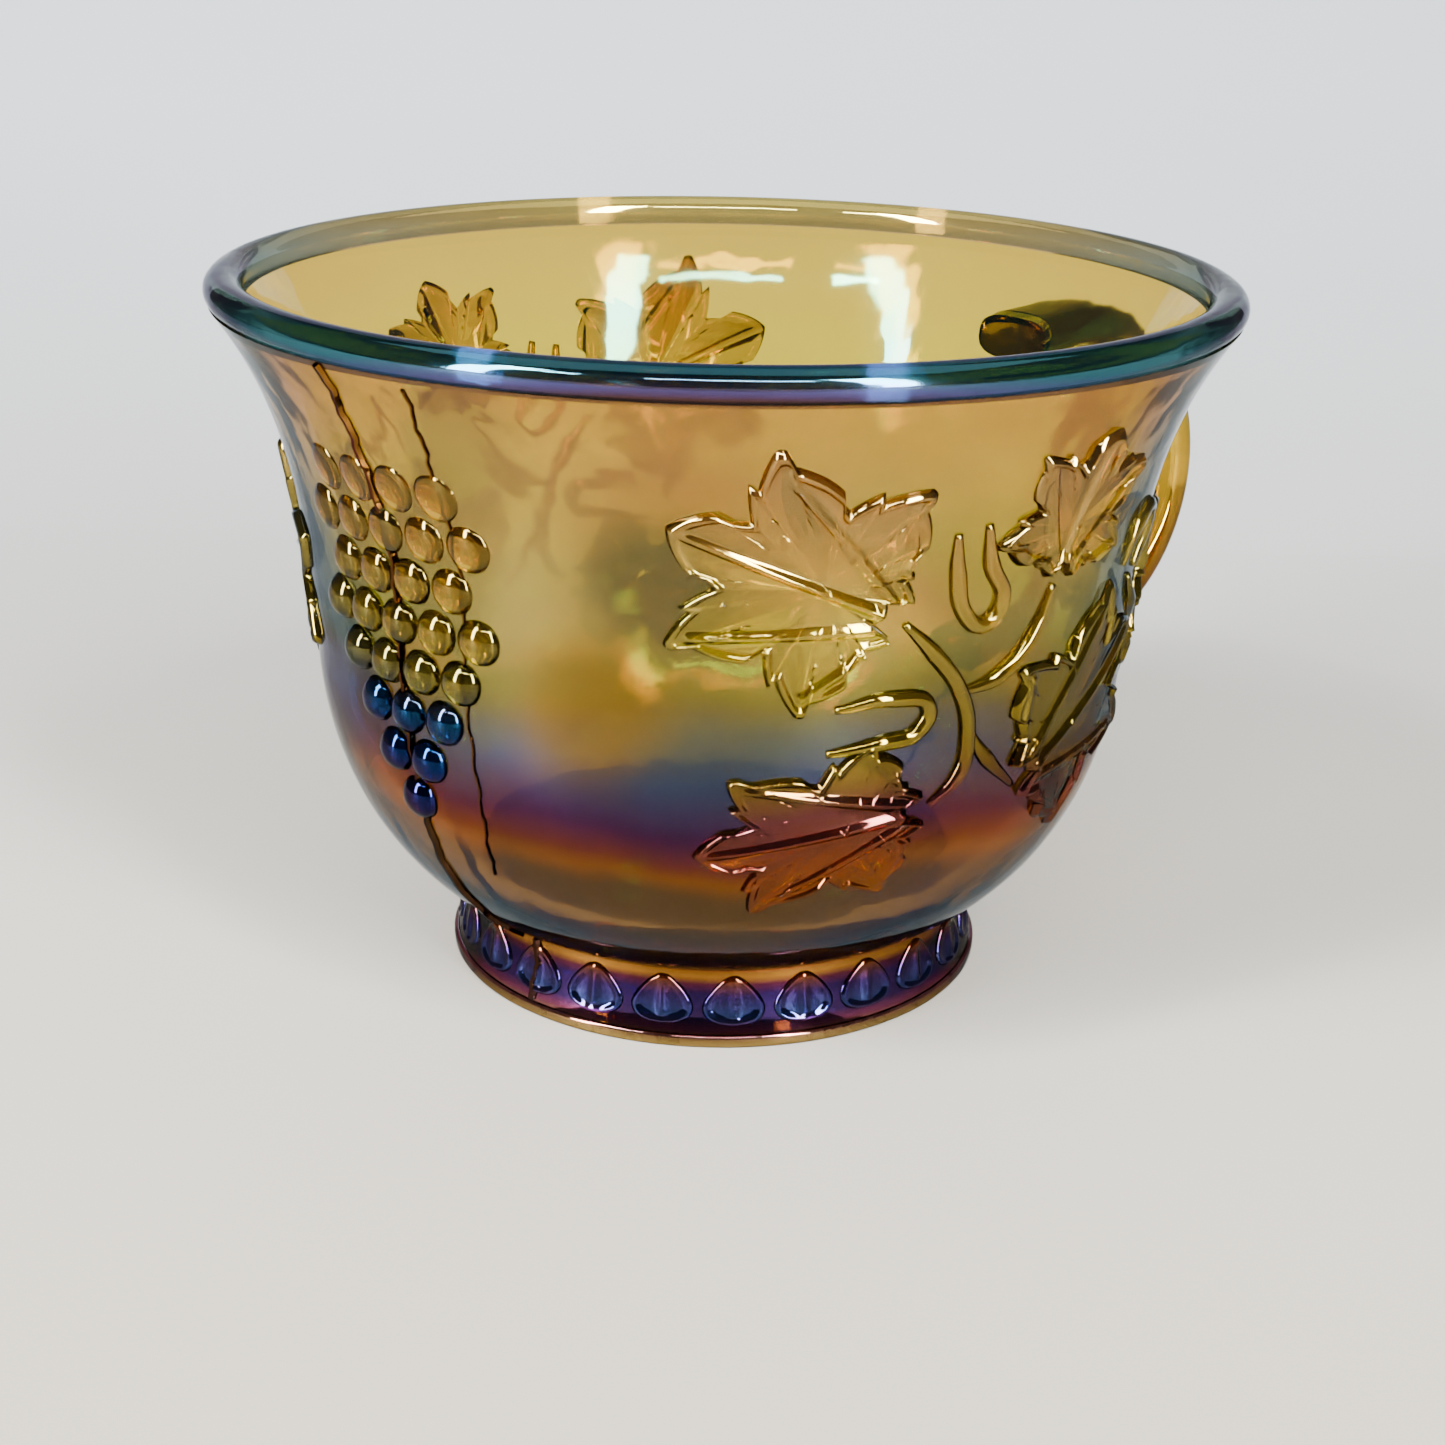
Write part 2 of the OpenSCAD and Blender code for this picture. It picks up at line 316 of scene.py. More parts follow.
def carnival_glass(name, bands, metal=0.3, wander_mm=12, film_ior=1.62, heavy=(), painted_light_tilt_mm=0.0):
    """Amber glass under a sprayed metal film: clear and glossy, with colours that change.

    bands are (height in mm, colour, thickness of the film in nm) up the cup. They wander by up
    to wander_mm, because the film is sprayed by hand, and a tilt in mm tips them up towards the
    back,
    away from the camera: painted light, with lighter bands on the far side.
    heavy are patches of thick film: (azimuth, height in mm, reach in mm, colour)."""
    material, tree = new_material(name)
    place = add_node(tree, "ShaderNodeTexCoord")
    wander = add_node(tree, "ShaderNodeTexNoise", links=[("Vector", place.outputs["Object"])],
                      Scale=WANDER_SCALE, Detail=3.0)
    split = add_node(tree, "ShaderNodeSeparateXYZ", links=[("Vector", place.outputs["Object"])])
    drift = add_node(tree, "ShaderNodeMath", operation="MULTIPLY_ADD",
                     values={1: wander_mm * MM},
                     links=[(0, wander.outputs["Fac"]), (2, split.outputs["Z"])])
    # Painted light: a tilt lifts the bands on the side away from the camera and lowers them in
    # front
    across = add_node(tree, "ShaderNodeVectorMath", operation="DOT_PRODUCT",
                      links=[(0, place.outputs["Object"])], values={1: AWAY * painted_light_tilt_mm / RIM_R})
    tilted = add_node(tree, "ShaderNodeMath", operation="ADD",
                      links=[(0, drift.outputs[0]), (1, across.outputs["Value"])])
    low, high = bands[0][0], bands[-1][0]
    height = add_node(tree, "ShaderNodeMapRange", links=[("Value", tilted.outputs[0])],
                      From_Min=(low + wander_mm / 2) * MM, From_Max=(high + wander_mm / 2) * MM)
    tint = add_node(tree, "ShaderNodeValToRGB", links=[("Fac", height.outputs[0])])
    thickness = add_node(tree, "ShaderNodeValToRGB", links=[("Fac", height.outputs[0])])
    for ramp, value in ((tint, lambda colour, film: srgb(colour)),
                        (thickness, lambda colour, film: [film / FILM_MAX] * 3 + [1])):
        stops = ramp.color_ramp.elements
        for i, (z, colour, film) in enumerate(bands):
            share = (z - low) / (high - low)
            stop = stops[i] if i < 2 else stops.new(share)
            stop.position = share
            stop.color = value(colour, film)
    patches = add_node(tree, "ShaderNodeTexNoise", links=[("Vector", place.outputs["Object"])],
                       Scale=PATCH_SCALE, Detail=4.0)
    patchy = add_node(tree, "ShaderNodeMapRange", links=[("Value", patches.outputs["Fac"])],
                      From_Min=PATCH_LOW, From_Max=PATCH_HIGH,
                      To_Min=-FILM_CHANGE / film_ior, To_Max=FILM_CHANGE / film_ior)
    film = add_node(tree, "ShaderNodeMath", operation="MULTIPLY_ADD",
                    values={1: FILM_MAX / film_ior},
                    links=[(0, thickness.outputs["Color"]), (2, patchy.outputs[0])])
    colour = tint.outputs["Color"]
    for az, middle, reach, code in heavy:
        r = wall_r(middle)
        spot = Vector((r * math.cos(az), r * math.sin(az), middle)) * MM
        blur = PATCH_BLUR * reach * MM
        gap = add_node(tree, "ShaderNodeVectorMath", operation="DISTANCE",
                       links=[(0, place.outputs["Object"])], values={1: spot})
        blurred = add_node(tree, "ShaderNodeMath", operation="MULTIPLY_ADD", values={1: blur},
                           links=[(0, patches.outputs["Fac"]), (2, gap.outputs["Value"])])
        cover = add_node(tree, "ShaderNodeMapRange", interpolation_type="SMOOTHSTEP",
                         links=[("Value", blurred.outputs[0])],
                         From_Min=blur, From_Max=2 * blur, To_Min=PATCH_COVER, To_Max=0.0)
        mixed = add_node(tree, "ShaderNodeMix", data_type="RGBA", values={7: srgb(code)},
                         links=[(0, cover.outputs[0]), (6, colour)])
        colour = mixed.outputs[2]
    ripple = add_node(tree, "ShaderNodeTexNoise", links=[("Vector", place.outputs["Object"])],
                      Scale=RIPPLE_SCALE, Detail=2.0)
    pressed = add_node(tree, "ShaderNodeBump", links=[("Height", ripple.outputs["Fac"])],
                       Strength=RIPPLE_STRENGTH, Distance=RIPPLE_MM * MM)
    haze = add_node(tree, "ShaderNodeMapRange", links=[("Value", patches.outputs["Fac"])],
                    From_Min=HAZE_LOW, From_Max=HAZE_HIGH,
                    To_Min=POLISH, To_Max=POLISH + HAZE)
    shader = add_node(tree, "ShaderNodeBsdfPrincipled", Metallic=metal,
                      Specular_Tint=srgb(GRAZING), Transmission_Weight=1.0, IOR=GLASS_IOR,
                      Thin_Film_IOR=film_ior,
                      links=[("Base Color", colour), ("Roughness", haze.outputs[0]),
                             ("Normal", pressed.outputs[0]),
                             ("Thin Film Thickness", film.outputs[0])])
    add_node(tree, "ShaderNodeOutputMaterial", links=[("Surface", shader.outputs[0])])
    return material


def faces_inside(piece, material, test):
    """Gives the faces whose centre (mm) passes the test a further material of their own."""
    piece.data.materials.append(material)
    slot = len(piece.data.materials) - 1
    for face in piece.data.polygons:
        if test(face.center / MM):
            face.material_index = slot


# The outside's film: gold above, then a grey-blue and violet band with an orange line and olive
# brown under it, and patches where the spray was heavy. The olive brown low down is film colour
# and painted shade: darker where the belly looks down into the shadow under the cup. It reads as
# dark shining gold
BOWL_BANDS = [(4, "#6a4c26", 425), (14, "#785828", 430), (19.4, "#7a521a", 430),
              (21.2, "#ac600c", 465), (22.8, "#863c18", 545), (25.4, "#582248", 570),
              (30.5, "#545c7c", 605), (33.4, "#6e7468", 600), (37, "#948e3c", 425),
              (42, "#ccbc5a", 430), (49, "#d8b056", 455), (57, "#d29c5c", 475),
              (62, "#c88c58", 480)]
PATCHES = [(math.radians(148), 36, 19, "#0e2c4c"), (math.radians(212), 36, 8, "#98781a"),
           (math.radians(222), 46, 8, "#7c7a50"), (math.radians(300), 44, 14, "#5a6a6a"),
           (math.radians(60), 30, 14, "#6a3c14"), (math.radians(100), 40, 12, "#2a4a60")]
bowl_glass = carnival_glass("iridescent_amber_painted_shade_glass", BOWL_BANDS, metal=0.2, heavy=PATCHES)

# The inside's film is thinner and has no metal shine, so the inside looks clear olive gold
INSIDE_BANDS = [(4, "#c89830", 430), (30, "#e4da20", 415), (50, "#eae624", 405),
                (64, "#eae62c", 410)]
inside_glass = carnival_glass("olive_gold_film_glass", INSIDE_BANDS, metal=0.0, film_ior=1.85)

# Bare amber glass without film, nearly colourless, for the faces where two parts of the cup run
# into each other: it lets light through the joint, so the cup reads as one piece
joined_glass, tree = new_material("bare_joined_glass")
shader = add_node(tree, "ShaderNodeBsdfPrincipled", Base_Color=srgb("#fffaf0"), Roughness=0.0,
                  Transmission_Weight=1.0, IOR=GLASS_IOR)
add_node(tree, "ShaderNodeOutputMaterial", links=[("Surface", shader.outputs[0])])

# Slack in mm when faces are picked by their height
NEAR = 0.01
bowl = turned("bowl_glass", wall_side() + list(reversed(wall_side(WALL_T, FLOOR_T))))
bowl.data.materials.append(bowl_glass)
faces_inside(bowl, inside_glass,
             lambda c: c.xy.length < wall_r(max(c.z, BOWL_BASE + NEAR)) - WALL_T / 2
             and c.z > BOWL_BASE + FLOOR_T / 2)
faces_inside(bowl, joined_glass, lambda c: c.z > WALL_TOP - NEAR)
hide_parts("bowl")
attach(bowl, "root")


# ---------------------------------------------------------------- rim bead
# The rounded lip, where the glass is thickest and was melted smooth in the glory hole after
# pressing. It is a closed ring that stands on the top of the wall.
BEAD_HALF_W = 1.75
BEAD_HALF_H = 1.5
BEAD_STEPS = 32
bead_z = CUP_H - BEAD_HALF_H
bead_r = RIM_R - BEAD_HALF_W
bead_low = -math.asin((bead_z - WALL_TOP) / BEAD_HALF_H)
bead_outline = []
for i in range(BEAD_STEPS + 1):
    w = bead_low + (math.pi - 2 * bead_low) * i / BEAD_STEPS
    bead_outline.append((bead_r + BEAD_HALF_W * math.cos(w), bead_z + BEAD_HALF_H * math.sin(w)))
bead = turned("rim_bead_glass", bead_outline, closed_ring=True)

# The rim's film is thicker: teal above and dark amber below. The bands are tipped up towards the
# back, away
# from the camera, so the near rim is painted dark and the far rim light gold, where the tilted
# bands run out:
# painted light, for the bright backdrop seen through the far rim and the dark room mirrored in
# the near one
BEAD_BANDS = [(55, "#5a2c10", 470), (57.4, "#4a2410", 475), (58.2, "#4c4674", 570),
              (59.2, "#2e5c64", 620), (61, "#4c7c78", 640), (65, "#8a9080", 600),
              (68, "#b09858", 520), (71, "#d4c458", 430)]
bead_glass = carnival_glass("teal_film_painted_light_glass", BEAD_BANDS, metal=0.35, wander_mm=1.2,
                            painted_light_tilt_mm=5.5)
bead.data.materials.append(bead_glass)
faces_inside(bead, joined_glass, lambda c: c.z < WALL_TOP + NEAR)
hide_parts("rim_bead")
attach(bead, "root")


# ---------------------------------------------------------------- foot ring
# The hollow foot under the bowl, pressed with it from the same glass. Its outside flares towards
# the table, and its top runs into the bowl's underside.
FLANGE_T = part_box("foot_flange")[1].z / MM
NECK_R = 24.3
NECK_Z = 5.4
SKIRT_R = 25.1
SKIRT_POWER = 1.6
RECESS_R = 20.0
RECESS_STEP = 0.2
JOIN = 0.2
FOOT_TOP_Z = 5.0


def foot_r(z):
    """Radius of the foot's flaring side at a height (mm)."""
    t = max(0.0, (NECK_Z - z) / (NECK_Z - FLANGE_T))
    return NECK_R + (SKIRT_R - NECK_R) * t ** SKIRT_POWER


SKIRT_HEIGHTS = [FLANGE_T - JOIN, FLANGE_T, 1.8, 2.4, 3.0, 3.6, 4.2, 4.8, 5.4, 6.2, 7.3]
FOOT_INSIDE = [(NECK_R - 1.2, 7.0), (RECESS_R - 1.2, 5.6), (RECESS_R - 0.8, 3.4),
               (RECESS_R - RECESS_STEP, FLANGE_T - JOIN)]
foot = turned("foot_ring_glass", [(foot_r(z), z) for z in SKIRT_HEIGHTS] + FOOT_INSIDE,
              closed_ring=True)

# The foot's film is thick and rather metallic: gold at the top, violet and blue below
FOOT_BANDS = [(0.0, "#9a7830", 440), (1.5, "#6c3048", 530), (2.4, "#34204c", 580),
              (4.8, "#281444", 565), (5.7, "#541c2c", 520), (6.4, "#a0681c", 450),
              (6.8, "#94601c", 450), (7.1, "#8a4820", 480)]
foot_glass = carnival_glass("violet_film_glass", FOOT_BANDS, metal=0.45, wander_mm=1.2)
foot.data.materials.append(foot_glass)
faces_inside(foot, joined_glass, lambda c: c.z < FLANGE_T - NEAR
             or (c.z > FOOT_TOP_Z and c.xy.length < NECK_R - 2 * NEAR))
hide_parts("foot_ring")
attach(foot, "root")


# ---------------------------------------------------------------- foot flange
# The thin edge that the cup stands on, pressed with the foot. Its rim is rounded where the
# mould's base plate met its ring.
FLANGE_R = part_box("foot_flange")[1].x / MM
EDGE = 0.35


def round_edge(z, turns):
    """Points round the flange's edge at some angles (degrees) about a centre at height z."""
    return [(FLANGE_R - EDGE + EDGE * math.cos(math.radians(w)),
             z + EDGE * math.sin(math.radians(w))) for w in turns]


flange = turned("foot_flange_glass",
                round_edge(EDGE, (-90, -67, -45, -22, 0))
                + round_edge(FLANGE_T - EDGE, (0, 22, 45, 67, 90))
                + [(RECESS_R - RECESS_STEP, FLANGE_T), (RECESS_R, 0)], closed_ring=True)

# A thin film over the edge, gold below and rose violet at the top: a bright line at the table
FLANGE_BANDS = [(0, "#b59646", 435), (0.8, "#8d6a3a", 435), (1.3, "#8a3a66", 530)]
flange_glass = carnival_glass("gold_edge_glass", FLANGE_BANDS, metal=0.4, wander_mm=0.3)
flange.data.materials.append(flange_glass)
faces_inside(flange, joined_glass, lambda c: c.z > FLANGE_T - NEAR and c.xy.length < SKIRT_R)
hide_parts("foot_flange")
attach(flange, "root")


# ---------------------------------------------------------------- grape bunch
# A bunch of round grapes on the mould's seam, opposite the handle. Like all the relief it was
# cut into the mould: each is drawn as a flat round pad, raised, and laid on the wall.
SINK = 0.25


def pad(name, rings, around):
    """A flat round pad of radius 1: its underside is at height 0 and its top at height 1."""
    bpy.ops.object.select_all(action="DESELECT")
    bpy.ops.mesh.primitive_circle_add(vertices=around, radius=1)
    piece = bpy.context.object
    piece.name = name
    bpy.ops.object.mode_set(mode="EDIT")
    bpy.ops.mesh.select_all(action="SELECT")
    bpy.ops.mesh.extrude_edges_move(TRANSFORM_OT_translate={"value": (0, 0, 1)})
    for i in range(1, rings):
        bpy.ops.mesh.extrude_edges_move()
        share = (1 - i / rings) / (1 - (i - 1) / rings)
        bpy.ops.transform.resize(value=(share, share, 1), center_override=(0, 0, 0))
    bpy.ops.mesh.extrude_edges_move()
    bpy.ops.mesh.merge(type="COLLAPSE")
    bpy.ops.mesh.select_all(action="DESELECT")
    bpy.ops.object.mode_set(mode="OBJECT")
    for v in piece.data.vertices:
        v.select = v.co.z < 0.5
    bpy.ops.object.mode_set(mode="EDIT")
    bpy.ops.mesh.extrude_edges_move()
    bpy.ops.mesh.merge(type="COLLAPSE")
    bpy.ops.mesh.select_all(action="SELECT")
    bpy.ops.mesh.normals_make_consistent(inside=False)
    bpy.ops.object.mode_set(mode="OBJECT")
    bpy.ops.object.shade_smooth()
    return piece


def on_wall(az, u, z, h):
    """The point h out from the wall at height z, u along it from azimuth az (mm, radians)."""
    slope = (wall_r(z + 0.05) - wall_r(z - 0.05)) / 0.1
    steep = math.hypot(1, slope)
    r = wall_r(z) + h / steep
    turn = az + u / WAIST_R
    return Vector((r * math.cos(turn), r * math.sin(turn), z - h * slope / steep)) * MM


def shape_pad(piece, outline, relief, place):
    """Stretches a pad to an outline, raises its top by relief and puts it on the glass."""
    for v in piece.data.vertices:
        share, turn = v.co.xy.length, math.atan2(v.co.y, v.co.x)
        u, w = outline(turn)
        h = relief(u * share, w * share, share, turn) if v.co.z > 0.5 else -SINK
        v.co = place(u * share, w * share, h)


def join_pieces(pieces, name):
    """Joins pieces into the first one and names it."""
    bpy.ops.object.select_all(action="DESELECT")
    for piece in pieces:
        piece.select_set(True)
    bpy.context.view_layer.objects.active = pieces[0]
    bpy.ops.object.join()
    pieces[0].name = name
    return pieces[0]


# Rows narrow downwards, and the upper rows are worn flat in the mould
SEAM_AZ = math.radians(184.5)
GRAPE_R = 2.1
GRAPE_GAP = 0.1
GRAPE_ROWS = [4, 5, 4, 5, 4, 3, 2, 1]
GRAPE_RISE = [0.3, 0.5, 0.65, 0.8, 0.85, 0.85, 0.85, 0.85]
GRAPE_TOP = 52.0
GRAPE_ROW_DZ = 4.0
GRAPE_OUT = 0.6
GRAPE_RINGS = 10
GRAPE_AROUND = 28
GRAPE_SUNK = 0.05
grape_foot = math.sqrt(GRAPE_R ** 2 - GRAPE_OUT ** 2)
grapes = []
for row, count in enumerate(GRAPE_ROWS):
    grape_z = GRAPE_TOP - row * GRAPE_ROW_DZ
    for k in range(count):
        grape = pad("grape", GRAPE_RINGS, GRAPE_AROUND)
        grape_u = (k - (count - 1) / 2) * (2 * GRAPE_R + GRAPE_GAP)
        shape_pad(grape,
                  lambda turn: (grape_foot * math.cos(turn), grape_foot * math.sin(turn)),
                  lambda u, w, share, turn: GRAPE_RISE[row] * (
                      math.sqrt(GRAPE_R ** 2 - u * u - w * w) - GRAPE_OUT),
                  lambda u, w, h: on_wall(SEAM_AZ, grape_u + u, grape_z + w, h))
        grapes.append(grape)
bunch = join_pieces(grapes, "grape_bunch_glass")

# The grapes' film follows the wall's: gold above, and deep blue on the lowest rows, with so
# little metal that each grape still looks like a clear drop
GRAPE_BANDS = [(22, "#241c70", 560), (28, "#18306c", 590), (33, "#24507c", 610),
               (37, "#a08c30", 425), (54, "#c89c38", 450)]
grape_glass = carnival_glass("blue_film_glass", GRAPE_BANDS, metal=0.12)
bunch.data.materials.append(grape_glass)
faces_inside(bunch, joined_glass, lambda c: c.xy.length < wall_r(c.z) - GRAPE_SUNK)
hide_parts("grape_bunch")
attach(bunch, "root")


# ---------------------------------------------------------------- foot petals
# A ring of 24 low petals pressed round the foot's side, each narrower towards its top, with a
# raised edge and a ridge down its middle.
PETALS = 24
PETAL_HALF_W = 2.9
PETAL_UP = 2.9
PETAL_DOWN = 1.7
PETAL_SQUARE = 0.8
PETAL_TAPER = 0.55
PETAL_Z = 3.7
PETAL_BASE = 0.06
PETAL_EDGE_H = 0.26
PETAL_EDGE_AT = 0.86
PETAL_EDGE_W = 0.1
PETAL_RIDGE_H = 0.3
PETAL_RIDGE_W = 0.45
PETAL_FALL = 0.05
PETAL_RINGS = 10
PETAL_AROUND = 40
PETAL_SUNK = 0.05


def on_foot(az, u, z, h):
    """The point h out from the foot's side at height z, u along it from azimuth az."""
    turn = az + u / SKIRT_R
    r = foot_r(z) + h
    return Vector((r * math.cos(turn), r * math.sin(turn), z)) * MM


def squared(value, power):
    """A sine or cosine pushed outwards, which turns a circle into a rounded square."""
    return math.copysign(abs(value) ** power, value)


def petal_outline(turn):
    """Edge of a petal in a direction: it narrows upwards and is rounder below."""
    across, upwards = math.cos(turn), math.sin(turn)
    return (PETAL_HALF_W * squared(across, PETAL_SQUARE)
            * (1 - PETAL_TAPER * max(0.0, upwards)),
            (PETAL_UP if upwards > 0 else PETAL_DOWN) * squared(upwards, PETAL_SQUARE))


def petal_relief(u, w, share, turn):
    """Height of a petal: its edge, its ridge, and a slight fall at the very edge."""
    edge = PETAL_EDGE_H * math.exp(-((share - PETAL_EDGE_AT) / PETAL_EDGE_W) ** 2)
    ridge = PETAL_RIDGE_H * math.exp(-(u / PETAL_RIDGE_W) ** 2) * (1 - share ** 2)
    return PETAL_BASE + edge + ridge - PETAL_FALL * share ** 12


petals = []
for i in range(PETALS):
    petal = pad("petal", PETAL_RINGS, PETAL_AROUND)
    az = math.radians(360 / PETALS * (i + 0.5))
    shape_pad(petal, petal_outline, petal_relief,
              lambda u, w, h: on_foot(az, u, PETAL_Z + w, h))
    petals.append(petal)
petal_ring = join_pieces(petals, "foot_petals_glass")

# The petals catch more spray than the foot: blue and violet, with gold brown at their tops
PETAL_BANDS = [(1.6, "#6c4468", 550), (2.8, "#34406c", 600), (4.6, "#3c2458", 575),
               (6.2, "#84481c", 505)]
petal_glass = carnival_glass("blue_violet_film_glass", PETAL_BANDS, metal=0.3, wander_mm=0.8)
petal_ring.data.materials.append(petal_glass)
faces_inside(petal_ring, joined_glass, lambda c: c.xy.length < foot_r(c.z) - PETAL_SUNK)
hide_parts("foot_petals")
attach(petal_ring, "root")


# ---------------------------------------------------------------- vine leaves
# Each leaf is a low pad with a raised edge, a raised midrib and side veins, and a toothed
# outline of five lobes. The same five leaves are pressed into both sides of the cup.
VINE_AZ = math.radians(259)
VINE_Z = 35.0
# Lobes: direction from the leaf's middle, reach and spread
LOBES = [(0, 1.0, 24), (50, 1.0, 24), (-50, 1.0, 24), (104, 0.9, 26), (-104, 0.9, 26)]
LOBE_BASE = 0.46
LOBE_WIDEN = 1.5
LOBE_POWER = 1.05
LEAF_LEAST = 0.52
TEETH = 20
TOOTH = 0.11
TOOTH_MIDDLE = 0.7
NOTCH_FROM = 165
NOTCH = 0.75
VEIN_BASE = -0.55
VEIN_REACH = 0.84
VEIN_H = 0.42
VEIN_W = 0.5
VEIN_TAPER = 0.2
VEIN_FADE = 0.9
BODY_H = 0.3
BODY_RISE = 0.4
BODY_POWER = 0.6
RIDGE_H = 0.4
RIDGE_IN = 0.6
RIDGE_W = 0.35
LEAF_RINGS = 40
LEAF_AROUND = 240
LEAF_SUNK = 0.02


def leaf_edge(turn):
    """Reach of the toothed outline in a direction, for a leaf of radius 1 that points to +X."""
    degrees = math.degrees(math.atan2(math.sin(turn), math.cos(turn)))
    reach = LEAF_LEAST
    for towards, far, spread in LOBES:
        away = abs((degrees - towards + 180) % 360 - 180)
        narrow = max(0.0, 1 - (away / (spread * LOBE_WIDEN)) ** LOBE_POWER)
        reach = max(reach, LOBE_BASE + (far - LOBE_BASE) * narrow)
    saw = (abs(degrees) / 360 * TEETH) % 1.0
    reach *= 1 + TOOTH * (saw - TOOTH_MIDDLE)
    return reach * (NOTCH if abs(degrees) > NOTCH_FROM else 1.0)


def vein_height(u, w, length, width):
    """Height of the midrib and the side veins at a point of a leaf."""
    base = VEIN_BASE * length / 2
    gaps = []
    for towards, far, _ in LOBES:
        du = VEIN_REACH * far * length / 2 * math.cos(math.radians(towards)) - base
        dw = VEIN_REACH * far * width / 2 * math.sin(math.radians(towards))
        t = max(0.0, min(1.0, ((u - base) * du + w * dw) / (du * du + dw * dw)))
        gap = math.hypot(u - base - t * du, w - t * dw)
        gaps.append(gap / (VEIN_W - VEIN_TAPER * t))
    return VEIN_H * math.exp(-min(gaps) ** 2)


def leaf(name, az, u0, v0, length, width, lean):
    """One leaf: u0 and v0 are its middle from the vine joint, and lean is where it points."""
    piece = pad(name, LEAF_RINGS, LEAF_AROUND)
    cos_lean, sin_lean = math.cos(math.radians(lean)), math.sin(math.radians(lean))

    def outline(turn):
        reach = leaf_edge(turn)
        return reach * length / 2 * math.cos(turn), reach * width / 2 * math.sin(turn)

    def relief(u, w, share, turn):
        edge = math.hypot(u, w) / max(share, 0.01) * max(0.0, 1 - share)
        ridge = RIDGE_H * math.exp(-((edge - RIDGE_IN) / RIDGE_W) ** 2)
        body = BODY_H * min(1.0, edge / BODY_RISE) ** BODY_POWER
        return body + ridge + vein_height(u, w, length, width) * min(1.0, edge / VEIN_FADE)

    def place(u, w, h):
        return on_wall(az, u0 + u * cos_lean - w * sin_lean,
                       VINE_Z + v0 + u * sin_lean + w * cos_lean, h)

    shape_pad(piece, outline, relief, place)
    return piece


# The leaves' film: pale gold above and orange brown low down, as on the wall, with a little
# more metal, so that the raised edges and veins catch the lamps
LEAF_BANDS = [(15, "#8a5008", 460), (21, "#8c4a10", 480), (27, "#743c2c", 535),
              (32, "#9c8010", 435), (44, "#b8a040", 430), (56, "#d4a85c", 455)]
leaf_glass = carnival_glass("gold_film_glass", LEAF_BANDS, metal=0.24, wander_mm=10)

# Name, middle from the vine joint (mm), length, width, direction (degrees)
LEAVES = [("leaf_upper_left", -12.5, 11.5, 28, 24, 155), ("leaf_lower", -9.5, -9.5, 28, 17, 190),
          ("leaf_right", 14, -4.5, 30, 22, 28), ("leaf_top", 9.5, 14.5, 18, 18, 80),
          ("leaf_outer", 38, 3, 30, 24, 20)]
SIDES = [("front", VINE_AZ), ("back", VINE_AZ + math.radians(180))]
for side, az in SIDES:
    for name, u0, v0, length, width, lean in LEAVES:
        piece = leaf(f"{side}_{name}_glass", az, u0, v0, length, width, lean)
        piece.data.materials.append(leaf_glass)
        faces_inside(piece, joined_glass, lambda c: c.xy.length < wall_r(c.z) - LEAF_SUNK)
        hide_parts(f"{side}_{name}")
        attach(piece, "root")


# ---------------------------------------------------------------- tendrils
# Round stems between the leaves, pressed with them in the same gold film glass. They stand up
# from the wall, and their lower half is flatter and sunk in it.
STEM_R = 0.75
STEM_END = 0.45
STEM_UNDER = 0.5
STEM_STEPS = 10
STEM_ROUND = 3


def stem(points, az):
    """A round stem along smooth points (u, v) from the vine joint, laid on the wall."""
    bpy.ops.object.select_all(action="DESELECT")
    bpy.ops.curve.primitive_bezier_curve_add()
    piece = bpy.context.object
    curve = piece.data
    line = curve.splines[0]
    line.bezier_points.add(len(points) - 2)
    for knot, (u, v) in zip(line.bezier_points, points):
        knot.co = (u, v, 0)
        knot.handle_left_type = knot.handle_right_type = "AUTO"
    line.bezier_points[0].radius = line.bezier_points[-1].radius = STEM_END
    curve.resolution_u = STEM_STEPS
    curve.bevel_depth = STEM_R
    curve.bevel_resolution = STEM_ROUND
    curve.use_fill_caps = True
    bpy.ops.object.convert(target="MESH")
    piece = bpy.context.object
    for v in piece.data.vertices:
        h = v.co.z * (1.0 if v.co.z > 0 else STEM_UNDER)
        v.co = on_wall(az, v.co.x, VINE_Z + v.co.y, h)
    bpy.ops.object.mode_set(mode="EDIT")
    bpy.ops.mesh.select_all(action="SELECT")
    bpy.ops.mesh.remove_doubles(threshold=WELD)
    bpy.ops.mesh.normals_make_consistent(inside=False)
    bpy.ops.object.mode_set(mode="OBJECT")
    bpy.ops.object.shade_smooth()
    return piece


# Two curled tendrils, three stalks from the joint of the vine to its leaves, and the outer
# leaf's tendril and stalk
STEMS = [[(-2.4, 15.5), (-1.8, 12), (-0.6, 8.5), (1.4, 7.2), (2.9, 9), (1.2, 12.5), (0.2, 16)],
         [(-11, 1.2), (-6, 1.8), (-3, 0.8), (-3.6, -1.2), (-7, -2.0), (-11.5, -2.6)],
         [(-5.8, 8.2), (-3, 5.4), (0, 1.5), (1.2, -2.5), (0.6, -6), (-2, -8.2)],
         [(0, 1.5), (3.6, 2.2), (7, 5.0), (8.7, 9.4)],
         [(0.8, -1.5), (3.5, -5), (7.0, -8.2)],
         [(21, 8), (22.5, 11.5), (25.5, 12.5), (26.5, 10), (24.8, 7)],
         [(23.5, 6.5), (26.5, 3.5), (30.4, 0.4)]]
for side, az in SIDES:
    vine = join_pieces([stem(points, az) for points in STEMS], f"{side}_tendrils_glass")
    vine.data.materials.clear()
    vine.data.materials.append(leaf_glass)
    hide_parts(f"{side}_tendrils")
    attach(vine, "root")


